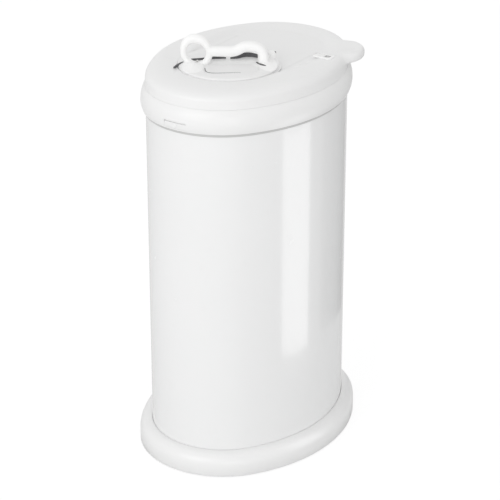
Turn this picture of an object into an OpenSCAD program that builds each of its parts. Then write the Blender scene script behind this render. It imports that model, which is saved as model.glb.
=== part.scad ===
// Nappy bin: oval steel body on a flared plastic base, plastic collar and hinged lid,
// round sliding hatch with a pin-shaped handle, child lock and press-to-open lid catch.
// Millimetres. Origin: centre of the footprint on the floor, +Z up, front towards -Y.

/* [Body] */
// Length of the oval body, front to back
body_len = 320; // [300:5:340]
// Width of the oval body
body_wid = 240; // [232:2:256]
// Radius of the oval's front and back arcs
end_r = 100; // [92:2:106]
// Height of the steel shell's top edge above the floor
body_top = 508; // [380:2:560]
// Thickness of the steel sheet
body_t = 1; // [0.8:0.1:1.5]

/* [Base] */
// How far the foot skirt stands out from the body
foot_out = 17.5; // [14:0.5:22]
// Height of the skirt's shoulder where it meets the body
foot_h = 33.8; // [30:0.2:40]
// Wall of the base mouldings
base_t = 2.5; // [2:0.1:3.2]
// Clear height under the floor pan
pan_z = 6; // [5:0.5:8]
// Thickness of the floor pan
pan_t = 3; // [2.4:0.2:4]
// Gap under the skirt that the rubber feet leave
foot_gap = 1.5; // [1:0.25:3]
// Radius of a rubber foot
foot_r = 11; // [8:1:14]

/* [Collar] */
// Height of the collar below the lid seam
collar_h = 32; // [28:1:38]
// How far the lower lip stands out
collar_lip = 3.8; // [3:0.2:5]
// How far the widest band stands out
collar_out = 6.5; // [5.5:0.5:8]
// How far the top edge stands out
collar_rim = 1.8; // [1:0.2:3]
// Wall of the rim inside the widest band
rim_in = 1.5; // [1:0.1:2]
// Reach of the inner flange from the body's face
flange_in = 12; // [11:0.5:12.5]
// Thickness of the inner flange
flange_t = 3; // [2.5:0.5:3.5]
// Rise of the rim above the steel's top edge
rim_up = 14; // [13.6:0.2:15]

/* [Lid] */
// Height of the lid's deck above its lower edge
lid_h = 22.6; // [22.2:0.2:26]
// Radius of the rounded shoulder
shoulder_r = 12; // [10:0.5:13]
// Wall of the lid mouldings
lid_t = 2.5; // [2.2:0.1:2.8]
// Radius of the lifting ear
ear_r = 35; // [30:1:38]
// Thickness of the lifting ear
ear_t = 13; // [10:0.5:14]
// Ear centre to the right of the middle
ear_x = 80.5; // [76:0.5:84]
// Ear centre behind the middle
ear_y = 95.3; // [90:0.5:98]

/* [Hatch] */
// Radius of the sliding disc
disc_r = 66; // [62:0.5:68]
// Distance of the closed disc's centre in front of the middle
disc_y = 46; // [42:1:48]
// Travel of the disc
hatch_travel = 100; // [80:2:104]
// Height of the disc above the deck
disc_up = 2.4; // [1.5:0.1:3]
// Width of the flange that the deck's lip holds down
disc_flange = 2.8; // [2:0.2:3.6]
// Radius of the drop hole
drop_r = 55; // [48:1:56]
// Depth of the sliding track under the deck
track_d = 4.4; // [4.2:0.2:6]
// Thickness of the lip over the track
lip_t = 1.6; // [1.4:0.1:2]
// Radius of the finger dish in the disc
dish_r = 52; // [44:1:54]
// Depth of the finger dish
dish_d = 4; // [3:0.2:4.4]

/* [Handle] */
// Angle of the handle across the lid
handle_a = 38; // [20:1:60]
// Height of the ring above the disc
ring_h = 40; // [36:0.5:44]
// Outer width of the ring
ring_w = 40; // [36:1:44]
// Thickness of the ring's strand
ring_t = 8.5; // [7:0.5:9.5]
// Ring centre from the disc's centre
ring_u = 40; // [37:0.5:40]
// Clear height under the bar
bar_gap = 9.5; // [8:0.5:11]
// Height of the bar
bar_h = 14; // [11:0.5:15]
// Width of the bar
bar_w = 13; // [11:0.5:16]
// Thickness of the wall behind the finger gap
web_t = 3; // [2:0.5:4]
// Height of the clasp head
head_h = 27.5; // [25:0.5:30]
// Reach of the clasp head from the disc's centre
head_u = 58; // [54:1:59]

/* [Catch and lock] */
// Width of the push button
button_w = 35; // [30:1:40]
// Height of the push button
button_h = 11; // [9:0.5:12]
// Travel of the push button
button_travel = 3; // [2:0.25:3]
// How far the button stands out from the collar
button_out = 2; // [1.5:0.25:3.5]
// Travel of the child lock
lock_travel = 8; // [5:0.5:9]
// Length of the lock's thumb piece
lock_len = 14; // [11:0.5:15]
// Width of the lock's thumb piece
lock_w = 8; // [6:0.5:9]
// Lock's distance behind the middle
lock_y = 49; // [44:1:52]

/* [Fastening and hinge] */
// Shank radius of the plastics screws
screw_r = 1.5; // [1.3:0.1:1.7]
// Head radius of the plastics screws
head_r = 3; // [2.6:0.1:3.4]
// Head height of the plastics screws
head_t = 1.8; // [1.4:0.1:2]
// Radius of the hinge pin
pin_r = 2; // [1.6:0.1:2.4]
// Outer radius of the hinge knuckles
knuckle_r = 4.5; // [4:0.1:4.8]
// Distance of the hinge axis behind the body's face
hinge_out = 11; // [10.6:0.1:12]
// Half width of the lid's middle knuckle
knuckle_in = 13; // [10:0.5:15]
// Length of each bracket knuckle
knuckle_len = 9; // [7:0.5:10]

/* [Hidden] */

fit = 0.2;      // seat between mouldings of one body
run = 0.3;      // gap between bodies that pass each other
bore_fit = 0.05; // radial fit of pins and shanks
$fn = 96;

// four-centred oval: end arcs on the Y axis, side arcs on the X axis, tangent where they meet
end_c = body_len/2 - end_r;
oval_k = end_c - (body_len - body_wid)/2;
side_c = round(1000*(end_c*end_c - oval_k*oval_k)/(2*oval_k))/1000;
side_r = body_wid/2 + side_c;
end_half = atan2(side_c, end_c);
side_half = 90 - end_half;

pan_top = pan_z + pan_t;
foot_arc = foot_out - fit;
collar_z = body_top + rim_up - collar_h;
collar_top = body_top + rim_up;
flange_top = body_top + flange_t;
lid_z = collar_top + 0.4;
deck_z = lid_z + lid_h;
track_z = deck_z - track_d;
track_floor_t = lid_t;
liner_t = 2.5;
liner_top = track_z - track_floor_t;
liner_z = liner_top - liner_t;
// how far in the liner's edge stays to clear the curved shoulder above it
liner_edge = run + shoulder_r - sqrt(pow(shoulder_r - lid_t, 2) - pow(max(0, liner_top - deck_z + shoulder_r), 2));
skirt_out = 4.5;
skirt_z = flange_top + 2;
gasket_z = skirt_z + 4;
gasket_h = 4;
disc_top = deck_z + disc_up;
disc_bottom = track_z + 1;
lip_under = deck_z - lip_t;
lip_r = disc_r + 0.6;
flange_r = disc_r + disc_flange;
track_r = flange_r + 0.8;
tub_t = 2.2;
rail_t = 0.7;
hinge_y = body_len/2 + hinge_out;
hinge_z = collar_top - 2;
hinge_screw_z = collar_z + collar_h*0.4;
plate_t = 2.6;
button_z = body_top - 10;
stem_r = 3;
boss_r = 6.5;
boss_in = flange_in;
pocket_d = 5;
clip_r = 5;
clip_t = 1;
spring_r = 4;
spring_wire = 0.8;
spring_seat = 6; // how far the spring's seat is set back from the boss's inner end
spring_turns = 4;
button_t = pocket_d - button_travel - 0.5 + button_out;
stem_end = boss_in + 0.3 + clip_t + 0.9;
latch_in = stem_end + button_travel + 0.8;
latch_w = 14;
latch_t = 2.5;
lid_screw_in = 14;
lid_bite = 4.6; // how far the lid's screws reach into their bosses
bag_in = 15.5;
bag_out = 8.5;
bag_t = 2.6;

// points on an arc about [cx, cy]
function arc(cx, cy, r, a0, a1, n = 8) = [for (i = [0:n]) let (a = a0 + (a1 - a0)*i/n) [cx + r*cos(a), cy + r*sin(a)]];

// sweeps a section round the oval: section x is the distance out from the body's face, y is height
module oval_sweep() {
    // a far point on the line through both arcs' centres, where the arcs meet
    far_x = 4*side_c;
    far_y = 5*end_c;
    for (s = [0, 1]) rotate([0, 0, 180*s]) {
        intersection() {
            translate([0, end_c, 0]) rotate_extrude() translate([end_r, 0]) children();
            linear_extrude(2*body_top) polygon([[0, end_c], [far_x, far_y], [-far_x, far_y]]);
        }
        intersection() {
            translate([-side_c, 0, 0]) rotate_extrude() translate([side_r, 0]) children();
            linear_extrude(2*body_top) polygon([[0, end_c], [0, -end_c], [far_x, -far_y], [far_x, far_y]]);
        }
    }
}

// points on the oval at a distance out from the body's face
function oval_points(out, n = 10) = concat(
    [for (i = [0:n - 1]) let (a = -side_half + 2*side_half*i/n) [(side_r + out)*cos(a) - side_c, (side_r + out)*sin(a)]],
    [for (i = [0:n - 1]) let (a = side_half + 2*end_half*i/n) [(end_r + out)*cos(a), (end_r + out)*sin(a) + end_c]],
    [for (i = [0:n - 1]) let (a = 180 - side_half + 2*side_half*i/n)
        [(side_r + out)*cos(a) + side_c, (side_r + out)*sin(a)]],
    [for (i = [0:n - 1]) let (a = 180 + side_half + 2*end_half*i/n) [(end_r + out)*cos(a), (end_r + out)*sin(a) - end_c]]);

// flat oval plate with its edge at a distance out
module oval_plate(out, z0, z1) {
    oval_sweep() translate([out - 30, z0]) square([30, z1 - z0]);
    translate([0, 0, z0]) linear_extrude(z1 - z0) polygon(oval_points(out - 20));
}

// places children at the six fixing points, at a distance out, local +X pointing outwards
module at_six(out) {
    for (s = [0, 1]) rotate([0, 0, 180*s]) {
        translate([body_wid/2 + out, 0, 0]) children();
        for (m = [0, 1]) mirror([m, 0, 0]) translate([0, end_c, 0])
            rotate([0, 0, 90 - end_half]) translate([end_r + out, 0, 0]) children();
    }
}

// cylinder along Y from y0 to y1
module rod_y(r, y0, y1) {
    translate([0, y1, 0]) rotate([90, 0, 0]) cylinder(r = r, h = y1 - y0);
}

// cylinder along X from x0 to x1
module rod_x(r, x0, x1) {
    translate([x0, 0, 0]) rotate([0, 90, 0]) cylinder(r = r, h = x1 - x0);
}

// screw with its head face at z = 0 and its shank pointing up
module screw(shank) {
    difference() {
        union() {
            translate([0, 0, -head_t]) cylinder(r = head_r, h = head_t, $fn = 32);
            cylinder(r = screw_r, h = shank, $fn = 32);
        }
        translate([0, 0, -head_t - 1]) cylinder(r = 1.2, h = 1 + head_t*0.6, $fn = 6);
    }
}

// upright pill: a slot-shaped plate in the XZ plane, from y0 to y1
module pill(w, h, y0, y1) {
    for (s = [-1, 1]) translate([s*(w - h)/2, 0, 0]) rod_y(h/2, y0, y1);
    translate([-(w - h)/2, y0, -h/2]) cube([w - h, y1 - y0, h]);
}

// track outline: two round ends joined by a straight
module track(r, z0, z1) {
    for (y = [-disc_y, hatch_travel - disc_y]) translate([0, y, z0]) cylinder(r = r, h = z1 - z0);
    translate([-r, -disc_y, z0]) cube([2*r, hatch_travel, z1 - z0]);
}

foot_spots = [for (x = [-1, 1], y = [-1, 1]) [x*body_wid*0.28, y*body_len*0.33]];

module base_ring() {
    shoulder_z = foot_h - foot_arc;
    inner = foot_out - base_t;
    color("whitesmoke") difference() {
        union() {
            oval_sweep() polygon(concat(
                [[foot_out, foot_gap]],
                arc(fit, shoulder_z, foot_arc, 0, 90),
                arc(fit, shoulder_z, foot_arc - base_t, 90, 0),
                [[inner, pan_top + base_t], [inner - 3, pan_top + base_t], [inner - 3, pan_top], [inner, pan_top],
                 [inner, foot_gap]]));
            at_six(foot_out/2) translate([0, 0, pan_top]) cylinder(r = head_r + 1, h = foot_h - pan_top - base_t*2, $fn = 48);
        }
        at_six(foot_out/2) translate([0, 0, pan_top - 1])
            cylinder(r = screw_r + bore_fit, h = foot_h - pan_top - base_t*2 - 2, $fn = 32);
    }
}

module base_pan() {
    upstand = 14;
    color("gainsboro") difference() {
        union() {
            oval_plate(foot_out - base_t - fit, pan_z, pan_top);
            oval_sweep() translate([-body_t - fit - base_t, pan_top - 1]) square([base_t, upstand]);
        }
        at_six(foot_out/2) translate([0, 0, pan_z - 1]) cylinder(r = screw_r + fit, h = pan_t + 2, $fn = 32);
    }
}

module rubber_feet() {
    color("dimgray") for (p = foot_spots) translate([p[0], p[1], 0]) {
        cylinder(r1 = foot_r - 1.5, r2 = foot_r, h = 1.5);
        translate([0, 0, 1.5]) cylinder(r = foot_r, h = pan_z - 1.5);
    }
}

module base_screws() {
    color("silver") at_six(foot_out/2) translate([0, 0, pan_z]) screw(pan_t + 12);
}

module body_shell() {
    color("white") difference() {
        oval_sweep() translate([-body_t, pan_top]) square([body_t, body_top - pan_top]);
        // slot that lets the catch boss pass inside
        translate([0, -body_len/2 + 2, button_z]) {
            rod_y(boss_r + fit, -6, 6);
            translate([-boss_r - fit, -6, 0]) cube([2*(boss_r + fit), 12, body_top]);
        }
        at_six(0) translate([0, 0, collar_z + 6]) rod_x(screw_r + fit, -5, 5);
    }
}

module collar_section() {
    inner = body_t + fit + 2;
    polygon([[fit, collar_z], [collar_lip, collar_z], [collar_out, collar_z + collar_h*0.32],
        [collar_out, collar_z + collar_h*0.47], [collar_rim, collar_top], [-rim_in, collar_top],
        [-rim_in, flange_top], [-flange_in, flange_top], [-flange_in, body_top], [-inner, body_top],
        [-inner, collar_z + 3], [-body_t - fit, collar_z + 3], [-body_t - fit, body_top], [fit, body_top]]);
}

module collar() {
    front = -body_len/2;
    color("white") difference() {
        union() {
            oval_sweep() collar_section();
            translate([0, 0, button_z]) rod_y(boss_r, front - 2, front + boss_in);
        }
        translate([0, 0, button_z]) {
            pill(button_w + 2*run, button_h + 2*run, front - collar_out - 2, front - collar_out + pocket_d);
            rod_y(stem_r + bore_fit, front - collar_out, front + boss_in + 1);
            rod_y(spring_r + 1, front - collar_out, front + boss_in - spring_seat);
        }
        at_six(0) translate([0, 0, collar_z + 6]) {
            rod_x(screw_r + bore_fit, -5, collar_lip - 0.6);
            rod_x(head_r + fit, -8, -body_t - fit - 0.6);
        }
        for (s = [-1, 1]) hinge_screw_at(s) rod_x(screw_r + bore_fit, -0.5, collar_out + 2);
    }
}

module collar_screws() {
    color("silver") at_six(0) translate([-body_t - fit - 0.6, 0, collar_z + 6]) rotate([0, 90, 0])
        screw(body_t + fit + collar_lip - 0.2);
}

// frame of a hinge screw: on the collar's back, local +X pointing outwards
module hinge_screw_at(s) {
    translate([0, end_c, hinge_screw_z]) rotate([0, 0, 90 + s*3.6]) translate([end_r, 0, 0]) children();
}

module hinge_bracket() {
    plate_a = 13;
    low = hinge_screw_z - head_r - 3;
    high = hinge_screw_z + head_r + 3;
    bore_x = knuckle_in + run;
    color("whitesmoke") difference() {
        union() {
            translate([0, end_c, 0]) rotate([0, 0, 90 - plate_a]) rotate_extrude(angle = 2*plate_a)
                translate([end_r + collar_out + bore_fit, low]) square([plate_t, high - low]);
            for (s = [0, 1]) mirror([s, 0, 0]) {
                translate([bore_x, hinge_y, hinge_z]) rod_x(knuckle_r, 0, knuckle_len);
                translate([bore_x, hinge_y - 5.5, low]) cube([knuckle_len, 7.5, hinge_z - low]);
            }
        }
        translate([0, end_c, low - 1]) cylinder(r = end_r + collar_out + bore_fit, h = hinge_z - low);
        translate([0, hinge_y, hinge_z]) rod_x(pin_r + bore_fit, -60, 60);
        for (s = [-1, 1]) hinge_screw_at(s) rod_x(screw_r + fit, collar_out - 1, collar_out + 20);
    }
}

module hinge_screws() {
    color("silver") for (s = [-1, 1]) hinge_screw_at(s)
        translate([collar_out + bore_fit + plate_t, 0, 0]) rotate([0, -90, 0]) screw(collar_out + plate_t - fit);
}

module hinge_pin() {
    half = knuckle_in + run + knuckle_len + 0.6;
    color("silver") translate([0, hinge_y, hinge_z]) {
        rod_x(pin_r, -half, half);
        for (s = [-1, 1]) translate([s*(half + 0.3), 0, 0]) rod_x(pin_r + 1, -0.5, 0.5);
    }
}

module bag_ring() {
    lip = 5;
    color("gainsboro") oval_sweep() polygon([[-bag_out, flange_top], [-bag_out, flange_top + bag_t],
        [-bag_in, flange_top + bag_t], [-bag_in, flange_top - lip], [-flange_in - fit, flange_top - lip],
        [-flange_in - fit, flange_top]]);
}

module release_button() {
    front = -body_len/2;
    face = front - collar_out - button_out;
    color("white") translate([0, 0, button_z]) difference() {
        union() {
            pill(button_w, button_h, face, face + button_t);
            rod_y(stem_r, face + 1, front + stem_end);
        }
        rotate([90, 0, 0]) translate([0, 0, -front - stem_end + 0.9 - 0.05]) difference() {
            cylinder(r = stem_r + 1, h = clip_t + 0.1);
            translate([0, 0, -1]) cylinder(r = stem_r - 0.8, h = clip_t + 3);
        }
    }
}

module button_clip() {
    front = -body_len/2;
    color("silver") translate([0, 0, button_z]) difference() {
        rod_y(clip_r, front + stem_end - 0.9 - clip_t, front + stem_end - 0.9);
        rod_y(stem_r - 0.75, front, front + stem_end);
        translate([-1.4, front, -clip_r - 1]) cube([2.8, 30, clip_r]);
    }
}

// coil spring: a round wire swept along a helix behind the button
module button_spring() {
    sides = 6;
    steps = 20*spring_turns;
    wire = spring_wire/2;
    back = -body_len/2 - collar_out - button_out + button_t;
    seat = -body_len/2 + boss_in - spring_seat;
    pitch = (seat - back - spring_wire - 0.2)/spring_turns;
    points = [for (i = [0:steps]) let (a = 360*spring_turns*i/steps) for (j = [0:sides - 1])
        let (b = 360*j/sides, r = spring_r + wire*cos(b))
        [r*cos(a), back + 0.1 + wire + pitch*spring_turns*i/steps + wire*sin(b), button_z + r*sin(a)]];
    walls = [for (i = [0:steps - 1]) for (j = [0:sides - 1]) let (k = (j + 1)%sides)
        [i*sides + j, i*sides + k, (i + 1)*sides + k, (i + 1)*sides + j]];
    caps = [[for (j = [sides - 1:-1:0]) j], [for (j = [0:sides - 1]) steps*sides + j]];
    color("silver") polyhedron(points, concat(walls, caps));
}

// outer and inner line of the lid's wall, shoulder and deck
module lid_section() {
    z = deck_z - shoulder_r;
    polygon(concat([[0, lid_z]], arc(-shoulder_r, z, shoulder_r, 0, 90), [[-40, deck_z], [-40, deck_z - lid_t]],
        arc(-shoulder_r, z, shoulder_r - lid_t, 90, 0), [[-lid_t, lid_z]]));
}

module lid_shell() {
    knuckle_w = 2*knuckle_in;
    color("white") difference() {
        union() {
            oval_sweep() lid_section();
            translate([0, 0, deck_z - lid_t]) linear_extrude(lid_t) polygon(oval_points(-30));
            track(track_r + tub_t, liner_top, deck_z);
            at_six(-lid_screw_in) translate([0, 0, liner_top]) cylinder(r = head_r + 1, h = deck_z - liner_top - 1, $fn = 48);
            // lifting ear, open inside the lid's wall
            difference() {
                translate([ear_x, ear_y, deck_z - ear_t]) cylinder(r = ear_r, h = ear_t);
                oval_sweep() translate([-60, deck_z - ear_t - 1]) square([60 - lid_t, ear_t + 1 - lid_t]);
            }
            // middle knuckle of the hinge, with its arm over the collar's rim
            translate([-knuckle_in, 0, 0]) {
                translate([0, hinge_y, hinge_z]) rod_x(knuckle_r, 0, knuckle_w);
                translate([0, body_len/2 - 2, collar_top + 0.6]) cube([knuckle_w, hinge_out + 3, 4]);
            }
        }
        track(lip_r, lip_under - 0.01, deck_z + 1);
        track(track_r, track_z, lip_under);
        translate([0, -disc_y, liner_top - 1]) cylinder(r = drop_r, h = track_floor_t + 2);
        for (s = [-1, 1]) rail_at(s) cube([4 + 2*bore_fit, hatch_travel + 30 + 2*bore_fit, 10]);
        at_six(-lid_screw_in) translate([0, 0, liner_top - 1]) cylinder(r = screw_r + bore_fit, h = lid_bite + 1.3, $fn = 32);
        translate([-60, hinge_y, hinge_z]) rod_x(pin_r + bore_fit, 0, 120);
        translate([-60, body_len/2 + 6.2, 0]) cube([60 - knuckle_in, 60, deck_z - 5]);
        lock_slot();
    }
}

// place of a glide rail's seat, a shallow groove in the track floor
module rail_at(s) {
    translate([s*(drop_r + 8.6) - 2 - bore_fit, -disc_y - 15 - bore_fit, track_z - 0.5]) children();
}

module rail(s) {
    rail_at(s) translate([bore_fit, bore_fit, 0]) cube([4, hatch_travel + 30, 0.5 + rail_t]);
}

module rail_left() { color("lightgray") rail(-1); }

module rail_right() { color("lightgray") rail(1); }

lock_x = track_r + tub_t + 2;
lock_stem = 4;

// slot through the deck for the lock's neck, in a shallow thumb recess
module lock_slot() {
    translate([lock_x, lock_y - lock_w/2 - run, deck_z - 1]) cube([lock_len + lock_travel + run, lock_w + 2*run, 3]);
    translate([lock_x + 3, lock_y - lock_stem/2 - run, deck_z - lid_t - 1])
        cube([lock_len + lock_travel - 6, lock_stem + 2*run, lid_t + 2]);
}

module lock_slide() {
    color("white") translate([lock_x + run, lock_y, 0]) {
        translate([0, -lock_w/2, deck_z - 1 + run]) difference() {
            cube([lock_len - run, lock_w, 1.9]);
            for (i = [0:3]) translate([3 + i*2.2, -1, 1.5]) cube([1, lock_w + 2, 1]);
        }
        translate([3.2, -lock_stem/2, deck_z - lid_t - 0.5]) cube([lock_len - 7, lock_stem, lid_t + 0.4]);
    }
}

// clip under the deck that holds the lock's neck
module lock_keeper() {
    color("gainsboro") translate([lock_x + run + 3.2 - 1.2, lock_y - lock_stem/2 - 2.4, deck_z - lid_t - 2.1])
        cube([lock_len - 7 + 2.4, lock_stem + 4.8, 1.6]);
}

module lid_liner() {
    color("gainsboro") difference() {
        union() {
            oval_plate(-liner_edge, liner_z, liner_top);
            oval_sweep() translate([-skirt_out - liner_t, skirt_z]) square([liner_t, liner_z - skirt_z + 1]);
        }
        translate([0, -disc_y, liner_z - 1]) cylinder(r = drop_r + 2, h = liner_t + 2);
        at_six(-lid_screw_in) translate([0, 0, liner_z - 1]) cylinder(r = screw_r + fit, h = liner_t + 2, $fn = 32);
        for (s = [-1, 1]) latch_rivet_at(s) translate([0, 0, -1]) cylinder(r = screw_r + bore_fit, h = liner_t + 2, $fn = 32);
    }
}

module lid_gasket() {
    color("gray") oval_sweep() translate([-skirt_out, gasket_z])
        polygon([[0, 0], [1.2, 0], [skirt_out - rim_in - 0.8, gasket_h/2], [1.2, gasket_h], [0, gasket_h]]);
}

module lid_screws() {
    color("silver") at_six(-lid_screw_in) translate([0, 0, liner_z]) screw(liner_t + lid_bite);
}

module latch_rivet_at(s) {
    translate([s*4, -body_len/2 + latch_in + 9, liner_z]) children();
}

module latch_plate() {
    y = -body_len/2 + latch_in;
    foot = 14;
    low = button_z - 4;
    color("silver") difference() {
        union() {
            translate([-latch_w/2, y, low]) cube([latch_w, latch_t, liner_z - low]);
            translate([-latch_w/2, y, liner_z - 2]) cube([latch_w, foot, 2]);
        }
        for (s = [-1, 1]) latch_rivet_at(s) translate([0, 0, -3]) cylinder(r = screw_r + bore_fit, h = 4, $fn = 32);
    }
}

module latch_rivets() {
    color("silver") for (s = [-1, 1]) latch_rivet_at(s) translate([0, 0, -2]) {
        cylinder(r = screw_r, h = 2 + liner_t, $fn = 32);
        translate([0, 0, -1]) cylinder(r = head_r - 0.6, h = 1, $fn = 32);
    }
}

// places children at a spot on the handle's line, local +X along the handle
module on_disc(u = 0) {
    translate([0, -disc_y, disc_top]) rotate([0, 0, handle_a]) translate([u, 0, 0]) children();
}

module hatch_disc() {
    color("white") difference() {
        union() {
            translate([0, -disc_y, disc_bottom]) cylinder(r = disc_r, h = disc_top - disc_bottom);
            translate([0, -disc_y, disc_bottom]) cylinder(r = flange_r, h = lip_under - run - disc_bottom);
        }
        on_disc() difference() {
            translate([0, 0, -dish_d]) cylinder(r1 = dish_r - dish_d, r2 = dish_r, h = dish_d + 0.01);
            translate([-100, bar_w/2 + 2, -dish_d - 1]) cube([200, 100, dish_d + 2]);
            for (u = [-ring_u, head_u - 12]) translate([u, 0, -dish_d - 1]) cylinder(r = 15, h = dish_d + 2);
        }
        // groove for the seal
        translate([0, -disc_y, disc_bottom - 1]) difference() {
            cylinder(r = drop_r + 5, h = 2.5);
            translate([0, 0, -1]) cylinder(r = drop_r + 1.5, h = 5);
        }
        for (u = [-ring_u, head_u - 12]) on_disc(u) translate([0, 0, -30]) {
            cylinder(r = screw_r + fit, h = 40, $fn = 32);
            cylinder(r = head_r + fit, h = 30 - (disc_top - disc_bottom) + head_t + 0.3, $fn = 32);
        }
    }
}

module hatch_seal() {
    color("gray") translate([0, -disc_y, track_z + run]) difference() {
        cylinder(r = drop_r + 5 - bore_fit, h = disc_bottom + 1.4 - track_z - run);
        translate([0, 0, -1]) cylinder(r = drop_r + 1.5 + bore_fit, h = 5);
    }
}

// oval disc standing across the handle's line: half width a, half height b, thickness t
module upright_oval(a, b, t) {
    rotate([90, 0, 0]) linear_extrude(t, center = true) scale([a/b, 1]) circle(b);
}

module handle() {
    color("white") on_disc() difference() {
        union() {
            intersection() {
                translate([-ring_u, 0, ring_h - ring_h*0.56]) upright_oval(ring_w/2, ring_h*0.56, ring_t);
                translate([-100, -20, 0]) cube([200, 40, 60]);
            }
            translate([-ring_u - ring_w*0.36, -9, 0]) cube([ring_w*0.72, 18, 5]);
            translate([-ring_u + ring_w/2 - 3, 0, bar_gap + bar_h/2]) rotate([0, 90, 0])
                scale([bar_h/bar_w, 1, 1]) cylinder(r = bar_w/2, h = ring_u - ring_w/2 + 3 + 24);
            translate([-ring_u + ring_w/2 - 3, bar_w/2 - web_t, -0.01]) cube([ring_u - ring_w/2 + 3 + 40, web_t, bar_gap + bar_h/2]);
            hull() {
                translate([22, -bar_w/2, bar_gap]) cube([4, bar_w, bar_h]);
                translate([28, 0, head_h - 4]) rotate([90, 0, 0]) cylinder(r = 4, h = bar_w, center = true, $fn = 32);
                translate([head_u - 12, 0, 0]) cylinder(r = 12, h = 4, $fn = 32);
                translate([head_u - 20, 0, 0]) cylinder(r = 12, h = 10, $fn = 32);
            }
        }
        translate([-ring_u, 0, ring_h - ring_h*0.56])
            upright_oval(ring_w/2 - ring_t, ring_h*0.56 - ring_t, ring_t + 20);
        // arch under the clasp head
        translate([20, bar_w/2 - web_t, 0]) rotate([90, 0, 0]) cylinder(r = 13, h = 60);
        for (u = [-ring_u, head_u - 12]) translate([u, 0, -1]) cylinder(r = screw_r + bore_fit, h = 5, $fn = 32);
    }
}

module handle_screws() {
    seat = disc_bottom + head_t + 0.3 - disc_top;
    color("silver") for (u = [-ring_u, head_u - 12]) on_disc(u) translate([0, 0, seat]) screw(3.5 - seat);
}

base_ring();
base_pan();
rubber_feet();
base_screws();
body_shell();
collar();
collar_screws();
hinge_bracket();
hinge_screws();
hinge_pin();
bag_ring();
release_button();
button_spring();
button_clip();
lid_shell();
lid_liner();
lid_gasket();
lid_screws();
latch_plate();
latch_rivets();
rail_left();
rail_right();
lock_slide();
lock_keeper();
hatch_disc();
hatch_seal();
handle();
handle_screws();
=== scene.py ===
"""Dresses the nappy bin's CAD frame: smooth shells, finishes, lights and camera."""

import math

import bmesh
import bpy
from bpy.props import FloatProperty, FloatVectorProperty, PointerProperty
from mathutils import Matrix, Vector


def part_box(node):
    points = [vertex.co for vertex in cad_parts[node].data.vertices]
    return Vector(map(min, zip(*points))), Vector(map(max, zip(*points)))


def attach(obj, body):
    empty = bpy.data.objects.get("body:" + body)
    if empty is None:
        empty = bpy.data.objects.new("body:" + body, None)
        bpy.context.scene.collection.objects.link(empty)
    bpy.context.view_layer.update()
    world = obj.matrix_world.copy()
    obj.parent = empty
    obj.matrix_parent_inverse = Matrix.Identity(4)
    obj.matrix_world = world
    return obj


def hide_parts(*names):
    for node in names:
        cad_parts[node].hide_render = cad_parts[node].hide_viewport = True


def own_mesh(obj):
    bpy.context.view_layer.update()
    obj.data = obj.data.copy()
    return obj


bl_info = {
    "name": "Nappy bin maker",
    "version": (1, 0, 0),
    "blender": (4, 5, 0),
    "location": "3D View > Sidebar > Nappy bin",
    "description": "Builds the visible pieces of a lidded nappy bin round its CAD frame",
    "category": "Object",
}

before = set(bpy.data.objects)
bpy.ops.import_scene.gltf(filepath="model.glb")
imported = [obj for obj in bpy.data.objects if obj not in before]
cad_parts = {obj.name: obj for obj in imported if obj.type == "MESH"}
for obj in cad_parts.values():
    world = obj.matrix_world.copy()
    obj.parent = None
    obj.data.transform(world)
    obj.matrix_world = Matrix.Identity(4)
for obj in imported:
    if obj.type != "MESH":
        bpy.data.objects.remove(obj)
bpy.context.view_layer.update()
MM = 0.001


def heights(node):
    """Lowest and highest point of a CAD piece in millimetres."""
    return [corner.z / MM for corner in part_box(node)]


# the mesh code works in millimetres, and these levels come from the CAD frame
DECK = heights("lid_shell")[1]
COLLAR_LOW, COLLAR_HIGH = heights("collar")
DISC_LOW, DISC_TOP = heights("hatch_disc")
BODY_LOW, BODY_HIGH = heights("body_shell")
TRACK_DEPTH = 4.4  # from the deck down to the floor that the hatch slides on
LIP = 1.6  # thickness of the deck's lip over the hatch's flange
POCKET_FLOOR = 0.6  # how far out from the body the floor of the button's pocket lies
BUTTON_TRAVEL = 3.0
RECESS_LEN = 22.6  # length of the recess that the lock slider moves in
RUN = 0.3  # gap between pieces that pass each other


# ---------------------------------------------------------------- sizes and colours


def length(title, note, default):
    """A size in metres, shown in the user's own unit."""
    return FloatProperty(name=title, description=note, default=default, unit="LENGTH", precision=4)


def colour(title, note, default):
    """A linear colour with its picker."""
    return FloatVectorProperty(
        name=title, description=note, default=default, subtype="COLOR", size=3, min=0, max=1
    )


class BinSizes(bpy.types.PropertyGroup):
    body_len: length("Body length", "Front to back across the painted body", 0.32)
    body_wid: length("Body width", "Side to side across the painted body", 0.24)
    end_r: length("End radius", "Radius of the body's front and back arcs", 0.1)
    foot_out: length("Base flare", "How far the base stands out from the body", 0.0175)
    foot_h: length("Base height", "Height of the base's flare", 0.0338)
    collar_out: length("Collar bulge", "How far the collar's fullest line stands out", 0.0065)
    shoulder: length("Lid shoulder", "Radius of the lid's rounded edge", 0.012)
    ear_r: length("Ear radius", "Radius of the lifting ear", 0.035)
    ear_x: length("Ear across", "How far right the ear's centre is", 0.0805)
    ear_y: length("Ear along", "How far back the ear's centre is", 0.0953)
    ear_t: length("Ear thickness", "Thickness of the lifting ear", 0.013)
    disc_r: length("Disc radius", "Radius of the hatch disc", 0.066)
    disc_y: length("Disc place", "How far the disc's centre is in front of the middle", 0.046)
    travel: length("Hatch travel", "How far the hatch slides back", 0.1)
    drop_r: length("Drop hole radius", "Radius of the hole under the disc", 0.055)
    handle_turn: FloatProperty(
        name="Handle turn", description="Angle of the handle's line on the disc",
        default=math.radians(38), subtype="ANGLE",
    )


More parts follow.
